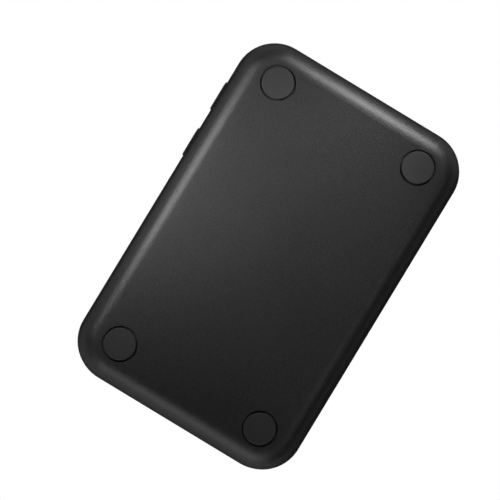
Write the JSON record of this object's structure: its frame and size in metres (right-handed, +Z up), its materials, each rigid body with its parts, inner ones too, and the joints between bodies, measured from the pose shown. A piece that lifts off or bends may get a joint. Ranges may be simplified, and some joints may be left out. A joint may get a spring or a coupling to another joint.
{
  "type": "drive duplicator",
  "caption": "Low rounded desktop case with upright drive wells in its top, push buttons and lamp windows on the front, and data and power inlets at the rear.",
  "frame": {"origin": "middle of the plan, on the plane that the feet stand on", "axes": "+X along the case towards its button end, +Y towards the rear with the ports, +Z up out of the drive wells"},
  "size_m": [0.11, 0.0725, 0.034],
  "materials": {
    "case_plastic": "fine moulded grain",
    "foot_rubber": "smooth",
    "screw_steel": "zinc plated",
    "board_laminate": "solder mask",
    "socket_plastic": "moulded",
    "contact_gold": "gold flash",
    "port_steel": "tin plated",
    "tongue_plastic": "moulded",
    "pin_nickel": "nickel plated",
    "button_plastic": "satin",
    "chip_epoxy": "moulded epoxy",
    "can_aluminium": "drawn",
    "lamp_resin": "clear epoxy",
    "guide_clear": "polished, clear"
  },
  "bodies": {
    "chassis": {"base_shell": "case_plastic", "top_cover": "case_plastic", "foot_front_left": "foot_rubber", "foot_front_right": "foot_rubber", "foot_rear_left": "foot_rubber", "foot_rear_right": "foot_rubber", "case_screws": "screw_steel", "board_screws": "screw_steel", "main_board": "board_laminate", "sata_socket_front": "socket_plastic", "sata_socket_rear": "socket_plastic", "sata_contacts_front": "contact_gold", "sata_contacts_rear": "contact_gold", "usb_shell": "port_steel", "usb_tongue": "tongue_plastic", "usb_contacts": "contact_gold", "power_inlet_body": "socket_plastic", "power_inlet_pin": "pin_nickel", "power_inlet_spring": "pin_nickel", "power_switch": "socket_plastic", "copy_switch": "socket_plastic", "bridge_chip": "chip_epoxy", "memory_chip": "chip_epoxy", "crystal": "can_aluminium", "power_inductors": "chip_epoxy", "capacitors": "can_aluminium", "status_lamps": "lamp_resin", "light_guide": "guide_clear"},
    "power_key": {"power_button": "button_plastic", "power_plunger": "tongue_plastic"},
    "copy_key": {"copy_button": "button_plastic", "copy_plunger": "tongue_plastic"}
  },
  "joints": [
    {"name": "power_button_press", "type": "slide", "parent": "chassis", "child": "power_key", "axis": [0, 1, 0], "range_m": [0, 0.0003], "stiffness_N_per_m": 1500, "springref_m": -0.0009},
    {"name": "copy_button_press", "type": "slide", "parent": "chassis", "child": "copy_key", "axis": [0, 1, 0], "range_m": [0, 0.0003], "stiffness_N_per_m": 1500, "springref_m": -0.0009}
  ]
}
